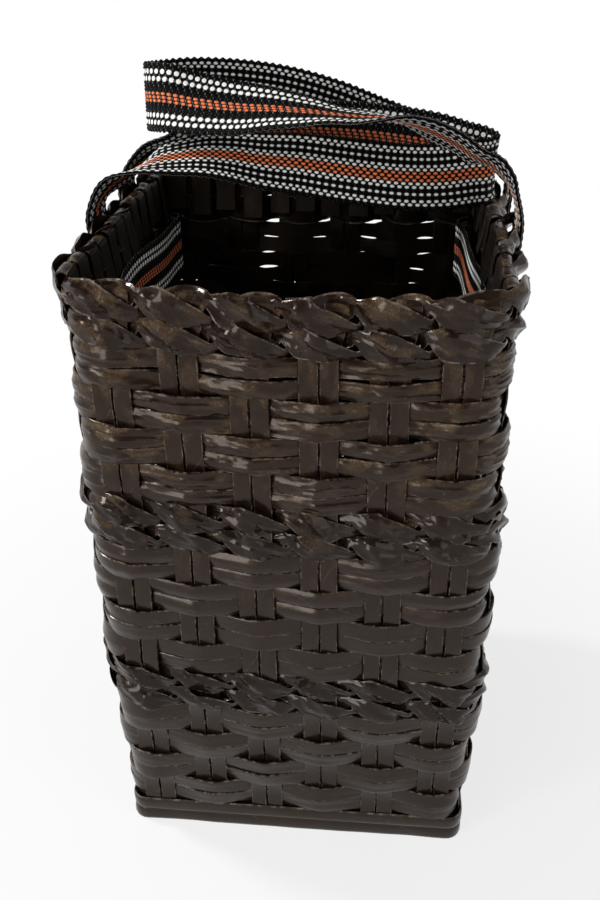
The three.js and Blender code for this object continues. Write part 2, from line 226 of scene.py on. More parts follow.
flatFace = [
    (1.0, 0.0), (0.99, 0.5), (0.955, 0.84), (0.86, 0.96), (0.4, 1.0), (-0.4, 1.0), (-0.86, 0.96),
    (-0.955, 0.84), (-0.99, 0.5), (-1.0, 0.0),
]
flatTube = section(fineMarks, flatFace, [(-0.92, -0.75), (0.0, -1.0), (0.92, -0.75)])
plainTube = section(plainMarks, flatFace, [(-0.9, -0.8), (0.9, -0.8)])
crownTube = section(
    fineMarks,
    [(1.0, -0.2), (0.98, 0.1), (0.93, 0.3), (0.62, 0.62), (0.2, 1.0), (-0.15, 0.94), (-0.62, 0.58),
     (-0.92, 0.32), (-0.975, 0.1), (-1.0, -0.2)],
    [(-0.9, -0.6), (0.0, -0.7), (0.9, -0.6)],
)
ridgedTube = section(
    fineMarks,
    [(1.0, -0.1), (0.98, 0.06), (0.9, 0.22), (0.68, 0.56), (0.34, 1.0), (-0.1, 0.78), (-0.6, 0.42),
     (-0.88, 0.2), (-0.97, 0.06), (-1.0, -0.1)],
    [(-0.8, -0.35), (0.0, -0.45), (0.8, -0.35)],
)


# crumpled paper: ridges across both faces, pleats along them, and edges that wander
crumple = {
    "from": 190.0,  # height from which strips are crumpled more
    "over": 120.0,
    "least": 0.18,  # share of it that the lower strips have
    "crease": 9.0,  # mm along a strip from ridge to ridge
    "wander": 0.7,  # mm that an edge goes out or in
    "edgeLength": 13.0,
    "pleatLength": 42.0,
    "pleatWidth": 7.0,
}


def stripRings(centres, wides, outs, widths, thicks, section, seed, wrinkle, pleat,
               crease=crumple["crease"], wander=crumple["wander"], least=crumple["least"], folds=0.0):
    across, out = np.array(section["points"]).T
    around = len(across)
    rings = (
        centres[:, None, :]
        + wides[:, None, :] * (across[None, :] * widths[:, None] / 2)[..., None]
        + outs[:, None, :] * (out[None, :] * thicks[:, None] / 2 + folds)[..., None]
    )
    along = runLength(centres)
    handled = least + (1 - least) * smooth((centres[:, 2] - crumple["from"]) / crumple["over"])
    for i in range(len(centres)):
        for k in range(around):
            spot = Vector((along[i] / crease + seed * 7.3, across[k] * 1.1, seed * 3.1))
            ridge = 0.65 - 2 * abs(noise.noise(spot)) - 0.8 * abs(noise.noise(spot * 2.3))
            spot = Vector((along[i] / crumple["edgeLength"], seed * 5.7, 4.0 * (across[k] > 0)))
            edge = noise.noise(spot)
            aside = across[k] * widths[i] / crumple["pleatWidth"]
            fold = Vector((along[i] / crumple["pleatLength"], aside + seed * 4.3, seed * 1.7))
            ridge = wrinkle * ridge + pleat * (0.5 - 2.4 * abs(noise.noise(fold)))
            rings[i, k] += outs[i] * ridge * handled[i]
            rings[i, k] += wides[i] * across[k] * abs(across[k]) * edge * wander * (0.3 + 0.7 * handled[i])
    # uv in centimetres: along the strip, and across it, with the inner face ten further on
    acrossCm = across[None, :] * widths[:, None] / 20
    acrossCm = acrossCm + np.where(np.arange(around) >= section["outer"], 10.0, 0.0)[None, :]
    alongCm = np.repeat(along[:, None] / 10 + seed * 13.7, around + 1, axis=1)
    acrossCm = np.concatenate([acrossCm, acrossCm[:, :1] + 10.0], axis=1)
    nearEdge = np.tile(np.abs(np.append(across, across[0])), (len(centres), 1))
    return settled(rings), np.stack([alongCm, acrossCm, nearEdge], axis=-1)


# shader maths

class Value:
    def __init__(self, shader, socket):
        self.shader = shader
        self.socket = socket

    def __add__(self, other):
        return self.shader.math("ADD", self, other)

    def __sub__(self, other):
        return self.shader.math("SUBTRACT", self, other)

    def __rsub__(self, other):
        return self.shader.math("SUBTRACT", other, self)

    def __mul__(self, other):
        return self.shader.math("MULTIPLY", self, other)

    def __truediv__(self, other):
        return self.shader.math("DIVIDE", self, other)

    def __rtruediv__(self, other):
        return self.shader.math("DIVIDE", other, self)

    def __pow__(self, other):
        return self.shader.math("POWER", self, other)

    def __mod__(self, other):
        return self.shader.math("FLOORED_MODULO", self, other)

    def __gt__(self, other):
        return self.shader.math("GREATER_THAN", self, other)

    __radd__ = __add__
    __rmul__ = __mul__


# the nodes of a material, or of the world
class Finish:
    def __init__(self, owner):
        self.owner = owner
        owner.use_nodes = True
        self.tree = owner.node_tree
        self.surface = self.tree.nodes.get("Principled BSDF")

    def feed(self, socket, value):
        if isinstance(value, Value):
            self.tree.links.new(value.socket, socket)
        else:
            socket.default_value = value

    def node(self, kind, settings=None, sockets=None, output=0):
        made = self.tree.nodes.new(kind)
        for key, setting in (settings or {}).items():
            if key in ("stops", "bands"):     # bands have hard edges
                self.setStops(made.color_ramp, setting)
                made.color_ramp.interpolation = "CONSTANT" if key == "bands" else "LINEAR"
            else:
                setattr(made, key, setting)
        for key, value in (sockets or {}).items():
            self.feed(made.inputs[key], value)
        return Value(self, made.outputs[output])

    def setStops(self, ramp, stops):
        while len(ramp.elements) < len(stops):
            ramp.elements.new(0.5)
        for element, (position, colour) in zip(ramp.elements, stops):
            element.position = position
            element.color = (*colour, 1.0)

    def math(self, operation, a, b=0.0):
        return self.node("ShaderNodeMath", {"operation": operation}, {0: a, 1: b})

    def ramp(self, value, low, high):
        settings = {"interpolation_type": "SMOOTHSTEP"}
        sockets = {"Value": value, "From Min": low, "From Max": high}
        return self.node("ShaderNodeMapRange", settings, sockets)

    def mix(self, share, a, b):
        a, b = (c if isinstance(c, Value) else (*c, 1.0) for c in (a, b))
        return self.node("ShaderNodeMix", {"data_type": "RGBA"}, {"Factor": share, 6: a, 7: b}, 2)

    def noise(self, vector, scale, detail=3.0, rough=0.55):
        sockets = {"Vector": vector, "Scale": scale, "Detail": detail, "Roughness": rough}
        return self.node("ShaderNodeTexNoise", {}, sockets)

    def stretch(self, vector, x, y, z):
        return self.node("ShaderNodeVectorMath", {"operation": "MULTIPLY"}, {0: vector, 1: (x, y, z)})

    def split(self, vector):
        made = self.node("ShaderNodeSeparateXYZ", {}, {0: vector}).socket.node
        return [Value(self, output) for output in made.outputs]

    def bump(self, height, strength, distance):
        sockets = {"Height": height, "Strength": strength, "Distance": distance}
        return self.node("ShaderNodeBump", {}, sockets)

    # 1 for what the camera sees, itself or in a gloss or through glass
    def seen(self):
        share = self.node("ShaderNodeLightPath", output="Is Camera Ray")
        for ray in ("Is Glossy Ray", "Is Transmission Ray"):
            share = self.math("MAXIMUM", share, self.node("ShaderNodeLightPath", output=ray))
        return share

    def surfaceIs(self, **values):
        for key, value in values.items():
            if not isinstance(value, Value) and isinstance(value, tuple):
                value = (*value, 1.0)
            self.feed(self.surface.inputs[key], value)


paperLook = {
    "dark": (0.0085, 0.0038, 0.0024),
    "middle": (0.0165, 0.0078, 0.0051),
    # painted sheen: a warm cast on upward-facing patches of the upper half
    "sheenWarm": (0.066, 0.041, 0.022),
    # painted glints: gold flecks in that sheen
    "glintGold": (0.25, 0.175, 0.1),
    # painted: the duller, greyer colour of the lower half, which lacks that sheen
    "low": (0.0125, 0.0085, 0.0072),
    # painted shade: the near black of the basket's dark inside, on inner faces and hanging tails
    "inside": (0.003, 0.0022, 0.0020),
    "seam": (0.10, 0.08, 0.065),
    # colour of the painted highlight along the edges of a strip
    "lightened": (0.2, 0.155, 0.12),
    "lowShow": 0.6,  # how strongly each colour covers the one below it
    "glintShow": 0.75,
    "seamShow": 0.5,
    "edgeHighlightShow": 0.75,  # of the painted highlight along the edges
    "innerShadeShow": 0.94,
    "upper": (0.14, 0.36),  # metres above the floor, over which the lower half's painted duller grey gives way to the upper half's painted warm sheen and glints and deeper crumples
    "seamEvery": 9.7,  # cm along the strip
    "seamSlant": 1.9,
    "bump": 0.4,
    "bumpDepth": 0.0012,
    "roughLow": 0.22,
    "roughHigh": 0.36,
    "coat": 0.17,
    "coatLow": 0.08,  # more coat on the lower half
    "coatRough": 0.15,
    "specular": 0.21,
    "tint": (1.0, 0.74, 0.53),
}
# twined leaves carry more varnish
leafLook = {
    **paperLook,
    "roughLow": 0.17,
    "roughHigh": 0.3,
    "coat": 0.27,
    "coatLow": 0.03,
    "coatRough": 0.11,
    "specular": 0.1,
}


def varnishedPaper(name, look):
    finish = Finish(bpy.data.materials.new(name))
    uv = finish.node("ShaderNodeUVMap", {"uv_map": "strip"})
    along, across = finish.split(uv)[:2]
    inner = across > 5.0
    height = finish.split(finish.node("ShaderNodeTexCoord", output="Object"))[2]
    facing = finish.split(finish.node("ShaderNodeTexCoord", output="Normal"))[2]
    streaks = finish.noise(finish.stretch(uv, 0.8, 1.2, 1.0), 1.3, 5.0)
    patches = finish.noise(finish.stretch(uv, 0.5, 0.8, 1.0), 1.1, 3.0)
    upper = finish.ramp(height, *look["upper"])
    patch = finish.ramp(patches + upper * 0.05, 0.52, 0.66)
    # painted glints: gold flecks on the crumples, strongest on upward-facing patches of the upper half
    flecks = finish.noise(finish.stretch(uv, 1.0, 0.6, 1.0), 9.0, 5.0, 0.75)
    fleck = finish.ramp(flecks, 0.46, 0.76)
    # how far a surface faces up, where the painted sheen and glints are strongest
    upward = finish.ramp(facing, -0.15, 0.4)
    paintedGlints = fleck * patch * (0.1 + upper * 0.9) * (0.3 + upward * 0.7)
    seam = (along + across * look["seamSlant"]) / look["seamEvery"]
    offSeam = finish.math("PINGPONG", seam + finish.noise(uv, 0.9) * 0.12, 0.5)
    seamLine = 1.0 - finish.ramp(offSeam, 0.003, 0.009)
    brown = finish.mix(finish.ramp(streaks, 0.3, 0.7), look["dark"], look["middle"])
    # painted: the lower half goes greyer and duller
    brown = finish.mix((1.0 - upper) * look["lowShow"], brown, look["low"])
    # painted sheen: warm on upward-facing patches of the upper half
    brown = finish.mix(patch * upper * (0.2 + upward * 0.6), brown, look["sheenWarm"])
    # painted gold glints
    brown = finish.mix(paintedGlints * look["glintShow"], brown, look["glintGold"])
    scuff = finish.ramp(finish.noise(uv, 1.7, 4.0, 0.7), 0.45, 0.62)
    brown = finish.mix(seamLine * scuff * look["seamShow"], brown, look["seam"])
    # painted highlight along the edges of each strip, in stretches
    nearEdge = finish.node("ShaderNodeAttribute", {"attribute_name": "edge"}, output="Fac")
    edgeHighlight = finish.ramp(nearEdge, 0.84, 0.96) * scuff
    brown = finish.mix(edgeHighlight * look["edgeHighlightShow"], brown, look["lightened"])
    # painted shade: inner faces and tails near black, as the inside of the basket
    brown = finish.mix(inner * look["innerShadeShow"], brown, look["inside"])
    gloss = look["roughHigh"] - look["roughLow"]
    rough = look["roughLow"] + finish.ramp(streaks, 0.25, 0.75) * gloss + inner * 0.3
    wrinkles = finish.noise(finish.stretch(uv, 0.7, 1.0, 1.0), 1.5, 4.0)
    relief = wrinkles * (0.25 + 0.75 * upper) + flecks * patch * 0.14 * upper + seamLine * 0.1 * upper
    coat = look["coat"] + (1.0 - upper) * look["coatLow"]
    finish.surfaceIs(**{
        "Base Color": brown,
        "Roughness": rough,
        "Normal": finish.bump(relief, look["bump"], look["bumpDepth"]),
        "Specular IOR Level": look["specular"],
        "Specular Tint": look["tint"],
        "Coat Weight": coat * (1.0 - inner * 0.9),
        "Coat Roughness": look["coatRough"],
    })
    return finish.owner


boardLook = {
    "fibre": (0.022, 0.017, 0.015),
    "pale": (0.045, 0.036, 0.031),
    "fibreScale": 180.0,
    "stainScale": 14.0,
}


def paintedBoard():
    finish = Finish(bpy.data.materials.new("painted_board"))
    place = finish.node("ShaderNodeTexCoord", output="Object")
    fibres = finish.noise(finish.stretch(place, 1.0, 0.25, 1.0), boardLook["fibreScale"], 4.0)
    stain = finish.noise(place, boardLook["stainScale"], 3.0)
    lightened = finish.ramp(fibres * 0.6 + stain * 0.4, 0.35, 0.65)
    colour = finish.mix(lightened, boardLook["fibre"], boardLook["pale"])
    finish.surfaceIs(**{
        "Base Color": colour,
        "Roughness": 0.55 + stain * 0.25,
        "Normal": finish.bump(fibres, 0.3, 0.0006),
    })
    return finish.owner


# rows of floats across the webbing, from one selvedge to the other
webbing = {
    "width": 38.0,
    "thick": 1.7,
    "rows": 19,
    "float": 4.2,  # mm along the webbing from one float to the next
    "rise": 0.42,  # of a float above the valleys
    "selvedge": 0.6,  # mm that the edge floats stand out
    "broadWhite": [2, 4, 14, 16],
    "closeWhite": [1, 2, 4, 6, 7, 11, 12, 14, 16, 17],
    "orangeRows": [8, 9, 10],
    "black": (0.002, 0.002, 0.0022),
    "glint": (0.3, 0.3, 0.31),
    "broadShift": 0.25,  # of a float, from row to row on the broad face
    "floatHalf": (0.46, 0.32),  # of a float: rows across, shares of a float along
    "dotHalf": (0.74, 0.36),  # of a white dot on the broad face
    "riseHalf": 0.42,  # of a raised float, along
    "edgeThin": 0.45,  # share of the thickness left at the selvedges
    "sharp": 75,  # degrees from which an edge is sharp
    "white": (0.88, 0.87, 0.84),
    "orange": (0.84, 0.215, 0.085),
}


def stripedWebbing():
    finish = Finish(bpy.data.materials.new("striped_webbing"))
    uv = finish.node("ShaderNodeUVMap", {"uv_map": "strip"})
    along, across = finish.split(uv)[:2]
    broadFace = across > 1.5
    share = across - broadFace * 2.0

    def yarn(whiteRows):
        bands = []
        for row in range(webbing["rows"]):
            colour = webbing["black"]
            if row in whiteRows:
                colour = webbing["white"]
            if row in webbing["orangeRows"]:
                colour = webbing["orange"]
            if not bands or bands[-1][1] != colour:
                bands.append((row / webbing["rows"], colour))
        return finish.node("ShaderNodeValToRGB", {"bands": bands}, {"Fac": share})

    colour = finish.mix(broadFace, yarn(webbing["closeWhite"]), yarn(webbing["broadWhite"]))
    rowPlace = share * webbing["rows"]
    row = finish.math("FLOOR", rowPlace)
    odd = row % 2.0
    offRow = finish.math("ABSOLUTE", rowPlace - row - 0.5)
    shift = odd * 0.5 * (1.0 - broadFace) + row * webbing["broadShift"] * broadFace
    offFloat = finish.math("ABSOLUTE", (along + shift) % 1.0 - 0.5)
    floatAcross, floatAlong = webbing["floatHalf"]
    reach = finish.math("SQRT", (offRow / floatAcross) ** 2.4 + (offFloat / floatAlong) ** 2.4)
    onFloat = 1.0 - finish.ramp(reach, 0.8, 1.05)
    # on the broad face the white floats are round dots, wider than a row
    dotAcross, dotAlong = webbing["dotHalf"]
    dots = 0.0
    for white in webbing["broadWhite"]:
        offDot = finish.math("ABSOLUTE", rowPlace - (white + 0.5)) / dotAcross
        offAlong = finish.math("ABSOLUTE", (along + white * webbing["broadShift"]) % 1.0 - 0.5) / dotAlong
        dots = dots + (1.0 - finish.ramp(finish.math("SQRT", offDot**2.2 + offAlong**2.2), 0.82, 1.05))
    dots = finish.math("MINIMUM", dots * broadFace, 1.0)
    fuzz = finish.noise(finish.stretch(uv, 3.0, 60.0, 1.0), 2.0, 3.0)
    # painted glints: between the floats, short light ticks, two to a float, as where the black yarn
    # catches the light
    offTick = finish.math("PINGPONG", along * 2.0 + odd * 0.5 + rowPlace * 0.2, 0.5)
    tick = (1.0 - finish.ramp(offTick, 0.04, 0.2)) * finish.ramp(fuzz, 0.4, 0.6)
    tick = tick * (1.0 - finish.ramp(offRow, 0.2, 0.45))
    ground = finish.mix(tick * (0.14 + broadFace * 0.86), webbing["black"], webbing["glint"])
    yarnShade = finish.ramp(reach, 0.3, 1.0) * 0.25
    colour = finish.mix(yarnShade, colour, webbing["black"])
    thread = finish.mix(onFloat * (0.85 + fuzz * 0.25), ground, colour)
    thread = finish.mix(dots * (0.85 + fuzz * 0.25), thread, webbing["white"])
    lifted = finish.math("MAXIMUM", onFloat, dots)
    finish.surfaceIs(**{
        "Base Color": thread,
        "Roughness": 0.5 + fuzz * 0.25,
        "Normal": finish.bump(lifted + fuzz * 0.25, 0.6, 0.0008),
        "Specular IOR Level": 0.03,
    })
    return finish.owner


paper = varnishedPaper("varnished_paper", paperLook)
leafPaper = varnishedPaper("varnished_leaf", leafLook)
board = paintedBoard()
strap = stripedWebbing()
print("materials made")

# weavers: one strip that goes round twice, over one pair and under the next

weaver = {
    "width": 11.3,
    "closeWidth": 13.4,  # turns overlap on the other three walls
    "backPinch": 0.27,  # but some leave slits high up there, where light comes through
    "slits": {11: (12.45, 13.55, 14.5, 15.42), 10: (12.6, 15.5)},  # weaver: places on the wall line
    "bridge": 0.22,  # and wider where a hole would show through two walls
    "bridges": {8: (0.53,)},
    "thick": 2.1,
    "crownThick": 3.2,
    "firstCrowned": 6,
    "reach": 3.6,
    "steps": 16,  # rings from one pair to the next
    "curl": 2.0,  # degrees that the outer edge of each turn leans in
    "inset": 5.2,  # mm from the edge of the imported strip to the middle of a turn
    "crispLow": 0.93,  # facets that meet over a pair, rounder on the lower weavers
    "crispHigh": 0.994,
    "topLift": 1.3,  # mm, of the last turn under the rim
    "slitHalf": 0.2,  # pitches
    "sharp": 20,  # degrees from which a crease is sharp
    "jitter": {"reach": 0.5, "drop": 0.25, "slim": 0.4, "tilt": 9.0},
    "wrinkle": 0.5,
    "pleat": 0.75,
    "wedge": 0.85,  # pitches over which each end runs out beside the climbing turn
}
weaverCount = 12
seamPair = 3 * wall["pairs"]


# a value that strays from pair to pair along a strip
def jitter(dice, travel, turns, size, middle=0.0):
    knots = [middle + dice.uniform(-size, size) for pair in range(turns + 2)]
    return np.interp(travel, np.arange(turns + 2), knots)


def makeWeaver(number):
    node = "weaver_%02d" % (number + 1)
    low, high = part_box(node)
    zLow = low.z / mm + weaver["inset"]
    zHigh = high.z / mm - weaver["inset"]
    crowned = number >= weaver["firstCrowned"]
    dice = random.Random(100 + number)
    start = seamPair - number % 2
    turns = 2 * pairCount
    first = -weaver["wedge"]
    last = turns - 1 + weaver["wedge"]
    travel = np.linspace(first, last, int((last - first) * weaver["steps"]) + 1)
    swing = np.cos(np.pi * travel)
    crisp = weaver["crispHigh"] if crowned else weaver["crispLow"]
    bow = -np.arcsin(crisp * swing) / math.asin(crisp)
    sizes = weaver["jitter"]
    reaches = jitter(dice, travel, turns, sizes["reach"], weaver["reach"])
    drop, slim, tilt = (jitter(dice, travel, turns, sizes[key]) for key in ("drop", "slim", "tilt"))
    climb = smooth(travel - (pairCount - 1))
    # each end narrows to a wedge beside the place where the strip climbs to its second turn
    early = 1 - smooth(travel + 1)
    late = smooth(travel - (turns - 1))
    z = zLow + (zHigh - zLow) * (climb + late / 2 - early / 2) + drop
    places = (start + travel) % pairCount
    offset = bow * reaches + flareAt(z)
    if number == weaverCount - 1:
        onBack = places // wall["pairs"] == wallNames.index("back")
        z += weaver["topLift"] * climb * (1 - onBack)
    centres, wides, outs = onWall(start + travel, offset, z)
    curl = weaver["curl"] * (1 - 2 * climb) * (bow > 0)
    wides, outs = rollBy(wides, outs, np.radians(curl + tilt))
    pinch = np.zeros(len(travel))
    for slit in weaver["slits"].get(number, ()):
        pinch += weaver["backPinch"] * np.exp(-(((places - slit) / weaver["slitHalf"]) ** 4))
    for bridge in weaver["bridges"].get(number, ()):
        pinch -= weaver["bridge"] * np.exp(-(((places - bridge) / weaver["slitHalf"]) ** 4))
    widths = np.where(places < wall["pairs"], weaver["width"], weaver["closeWidth"]) + slim
    widths *= (1 - pinch) * np.clip(1 - early - late, 0.08, 1.0)
    thicks = np.full(len(travel), weaver["crownThick"] if crowned else weaver["thick"])
    tube = crownTube if crowned else flatTube
    creases = (weaver["wrinkle"], weaver["pleat"])
    strip = stripRings(centres, wides, outs, widths, thicks, tube, number + 1, *creases)
    makePaper(node, [strip], paper, weaver["sharp"])


for number in range(weaverCount):
    makeWeaver(number)
print("weavers made")

# twined rows: two strands that swap places between pairs, each crossing a pair as a slanting leaf

twine = {
    "leaf": {"low": 16.2, "mid": 16.8, "rim": 19.5},
    "neck": {"low": 6.2, "mid": 6.2, "rim": 6.8},
    "closeNeck": 9.0,  # on the other three walls, where no hole is left between the strands
    "closeRise": 4.0,
    "opens": {"low": 0.34, "mid": 0.34, "rim": 0.3},  # share of a leaf where it is widest
    "rise": {"low": 4.6, "mid": 4.6, "rim": 5.6},
    "reach": {"low": 4.0, "mid": 4.0, "rim": 5.0},
    "bias": {"low": 0.9, "mid": 0.9, "rim": 0.6},  # further out of the wall than into it
    "thick": {"low": 2.7, "mid": 3.0, "rim": 4.0},
    "steps": 20,
    "tight": 0.4,  # how much closer a strand goes round a corner
    "tightOver": 0.9,  # pitches on each side of it
    "rollOut": {"low": -14.0, "mid": -18.0, "rim": -24.0},  # degrees, as it comes out, facing up
    "rollIn": {"low": 16.0, "mid": 16.0, "rim": 25.0},  # as it goes back in
    "wrinkle": 0.35,
    "pleat": 0.55,
    "fold": 0.4,  # slope of a facet
    "foldReach": 4.5,  # mm, from a fold to where its facet ends
    "foldSlant": (8, 48),  # degrees
    "foldShift": 6,  # mm, most that a fold is off the middle
    "foldFade": 0.16,  # pitches, over which folds run out at each end of a leaf
    "endShort": 0.12,  # pitches left out where the ends of a strand meet
    "crest": 0.18,  # how much broader than a wave it lies over a pair
    "crisp": 0.985,  # of its straight rise and fall
    "least": 0.7,  # share of the crumples that the lower rows have
    "sharp": 17,  # degrees from which a crease is sharp
    "jitter": {"reach": 0.6, "drop": 0.8, "fat": 1.1, "twist": 14.0},
    "rimDrop": 1.2,  # mm, of the lower row of the rim
}


# flat facets of a folded leaf: a ridge and a valley or two cross it at a slant
def leafFolds(dice, travel, across, widths):
    leaf = np.floor(travel + 0.5).astype(int)
    share = travel - leaf
    along = share[:, None] * wall["pitch"]
    aside = across[None, :] * widths[:, None] / 2
    heights = np.zeros(aside.shape)
    for number in range(leaf.max() + 1):
        for sign in (-1, 1, -1):
            slant = math.radians(dice.uniform(*twine["foldSlant"]))
            middle = dice.uniform(-twine["foldShift"], twine["foldShift"])
            away = np.abs(along * math.sin(slant) + aside * math.cos(slant) - middle)
            fold = sign * twine["fold"] * (np.minimum(away, twine["foldReach"]) - twine["foldReach"] / 2)
            heights += np.where(leaf[:, None] == number, fold, 0.0)
    return heights * np.clip((0.5 - np.abs(share)) / twine["foldFade"], 0, 1)[:, None]


def makeStrand(group, row, strand):
    node = "twine_%s_%d%s" % (group, row, strand)
    low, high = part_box(node)
    middle = (low.z + high.z) / 2 / mm
    seed = 20 + ["low", "mid", "rim"].index(group) * 4 + row * 2 + (strand == "b")
    dice = random.Random(300 + seed)
    start = seamPair + 1 + (strand == "b")
    last = pairCount - twine["endShort"]
    travel = np.linspace(0.0, last, int(last * twine["steps"]) + 1)
    swing = np.cos(np.pi * travel)
    bow = -swing * (1 + twine["crest"] - twine["crest"] * swing**2)
    sizes = twine["jitter"]
    reaches = jitter(dice, travel, pairCount, sizes["reach"], twine["reach"][group])
    corner = np.abs((start + travel) % wall["pairs"] - wall["pairs"] + 0.5)
    reaches *= 1 - twine["tight"] * (1 - smooth(corner / twine["tightOver"]))
    drop, fat, twist = (jitter(dice, travel, pairCount, sizes[key]) for key in ("drop", "fat", "twist"))
    # high where it comes out, half a pitch before an outside pair, low where it goes in
    saw = np.arcsin(twine["crisp"] * np.sin(np.pi * travel)) / math.asin(twine["crisp"])
    onFront = (start + travel) % pairCount < wall["pairs"]
    rise = np.where(onFront, twine["rise"][group], twine["closeRise"])
    z = middle + rise * saw + drop - (twine["rimDrop"] if group == "rim" and row == 1 else 0.0)
    offset = bow * reaches + twine["bias"][group] + flareAt(z)
    centres, wides, outs = onWall(start + travel, offset, z)
    share = (travel - 0.5) % 2.0           # 0 to 1 outside, 1 to 2 inside
    rollOut, rollIn = twine["rollOut"][group], twine["rollIn"][group]
    outside = rollOut * (1 - smooth(share / 0.42)) + rollIn * smooth((share - 0.66) / 0.34)
    inside = rollIn + (rollOut - rollIn) * smooth(share - 1.0)
    roll = np.where(share < 1.0, outside, inside) + twist
    wides, outs = rollBy(wides, outs, np.radians(roll))
    leafShare = np.where(share < 1.0, share, share - 1.0)
    # a leaf opens, then tapers to a point
    opens = twine["opens"][group]
    opening = smooth(leafShare / opens) ** 0.8
    leaf = opening * (1 - np.clip((leafShare - opens) / (1.04 - opens), 0, 1) ** 1.35)
    leaf = np.where(share < 1.0, leaf, 0.85 * np.sin(np.pi * leafShare) ** 0.5)
    neck = np.where(onFront, twine["neck"][group], twine["closeNeck"])
    widths = neck + (twine["leaf"][group] + fat - neck) * leaf
    thicks = twine["thick"][group] * (0.4 + 0.6 * leaf)
    folds = leafFolds(dice, travel, np.array(ridgedTube["points"])[:, 0], widths)
    creases = (twine["wrinkle"], twine["pleat"])
    strip = stripRings(centres, wides, outs, widths, thicks, ridgedTube, seed, *creases,
                       least=twine["least"], folds=folds)
    makePaper(node, [strip], leafPaper, twine["sharp"])


for group in ("low", "mid", "rim"):
    for row in (1, 2):
        for strand in "ab":
            makeStrand(group, row, strand)
print("twined rows made")

# stakes: in pairs, folded inward over the rim, with their ends hanging inside

stake = {
    "width": 10.0,
    "split": 0.8,
    "thick": 1.6,
    "foot": [(-6.0, 4.0), (-2.2, 4.0), (-0.7, 4.4), (-0.1, 5.6), (0.0, 8.0)],  # outward, height
    "wallFrom": 12.0,
    "firstCourse": 20.6,
    "course": 22.5,
    "sway": 8.0,  # degrees, most that a strip turns in its place
    "swayLength": 38.0,
    "give": 1.1,  # pushed in and out by the weavers
    "spread": (2.2, 4.4),  # of each strip of a pair, at the rim
    "foldWidth": 13.2,
    "fold": 7.2,  # from the wall to the tail
    "foldFlat": 0.75,  # height of the fold for its half width
    "foldFactor": (0.9, 1.08),
    "tabRise": {"front": (-3.4, -0.6), "right": (-1.2, 1.6), "back": (-1.2, 1.6), "left": (-1.2, 1.6)},
    "tail": 24.0,
    "tailMore": (-3.0, 2.5),
    "tailCurl": (-2.4, 0.6),
    "widthMore": (-0.3, 0.2),
    "rimOver": 30.0,  # height over which a pair spreads
    "step": 4.0,
    "wrinkle": 0.4,
    "pleat": 0.3,
    "crease": 26.0,
    "wander": 0.5,
}


def stakeRoute(dice, parity, wallName):
    rise = dice.uniform(*stake["tabRise"][wallName])     # of the fold above the top of the wall
    tail = stake["tail"] + dice.uniform(*stake["tailMore"])
    foldHalf = stake["fold"] / 2 * dice.uniform(*stake["foldFactor"])
    top = wall["rimTop"] + rise - foldHalf * stake["foldFlat"]
    route = list(stake["foot"])
    z = stake["wallFrom"]
    while z < wall["slotBottom"]:
        course = (z - stake["firstCourse"]) / stake["course"]
        route.append((stake["give"] * parity * math.sin(math.pi * course) + float(flareAt(z)), z))
        z += stake["step"]
    for z in np.linspace(wall["slotBottom"] + 2, top, 9):
        route.append((float(flareAt(z)), float(z)))
    outer = float(flareAt(top))
    for angle in np.linspace(18, 162, 9):
        a = math.radians(angle)
        over = foldHalf * stake["foldFlat"] * math.sin(a)
        route.append((outer - foldHalf + foldHalf * math.cos(a), top + over))
    curl = dice.uniform(*stake["tailCurl"])
    for share in np.linspace(0.0, 1.0, 7):
        z = top - share * tail
        follow = float(flareAt(z)) - 2 * foldHalf
        route.append((follow + curl * share**2, z))
    return np.array(route)


def makeStakePair(wallIndex, pair):
    node = "stake_pair_%s_%d" % (wallNames[wallIndex], pair + 1)
    middle = pair * wall["pitch"] - outermost
    strips = []
    for side in (-1, 1):
        seed = 60 + (wallIndex * wall["pairs"] + pair) * 2 + (side > 0)
        dice = random.Random(500 + seed)
        route = stakeRoute(dice, 1 if pair % 2 else -1, wallNames[wallIndex])
        atRim = smooth((route[:, 1] - wall["slotBottom"]) / stake["rimOver"])
        atRim[np.argmax(route[:, 1]):] = 1.0
        spread = side * dice.uniform(*stake["spread"])
        along = middle + side * (stake["width"] + stake["split"]) / 2 + spread * atRim
        x, y = turned(along, -(wall["half"] + route[:, 0]), wallIndex)
        centres = np.stack([x, y, route[:, 1]], axis=1)
        wides, outs = squared(centres, np.tile([*turned(-1.0, 0.0, wallIndex), 0.0], (len(route), 1)))
        sway = [noise.noise(Vector((z / stake["swayLength"], seed * 2.7, 1.5))) for z in route[:, 1]]
        wides, outs = rollBy(wides, outs, np.radians(stake["sway"]) * np.array(sway))
        width = stake["width"] + dice.uniform(*stake["widthMore"])
        widths = width + (stake["foldWidth"] - stake["width"]) * atRim
        thicks = np.full(len(route), stake["thick"])
        creases = (stake["wrinkle"], stake["pleat"], stake["crease"], stake["wander"])
        rings, grid = stripRings(centres, wides, outs, widths, thicks, plainTube, seed, *creases)
        grid[np.argmax(route[:, 1]) + 3:, :, 1] += 10.0     # the tail gets the painted shade of the inner face
        strips.append((rings, grid))
    makePaper(node, strips, paper)


for wallIndex in range(4):
    for pair in range(wall["pairs"]):
        makeStakePair(wallIndex, pair)
print("stakes made")

# foot band: a plain strip round the bottom, with a fold line along it

footBand = {
    "half": 109.2,
    "radius": 8.8,
    "height": 19.6,
    "profile": [  # outward, share of the height
        (0.25, 0.0), (0.95, 0.03), (1.35, 0.12), (1.3, 0.3), (1.15, 0.44), (0.75, 0.475), (1.2, 0.51),
        (1.5, 0.62), (1.5, 0.82), (1.3, 0.94), (0.7, 1.0), (0.0, 0.97), (-0.1, 0.5), (0.0, 0.03),
    ],
    "step": 3.0,
    "wave": 0.55,
    "waveLength": 24.0,
    "waveAcross": 2.2,
    "waveUp": 1.4,  # of the upper edge
    "sharp": 40,  # degrees from which an edge is sharp
}


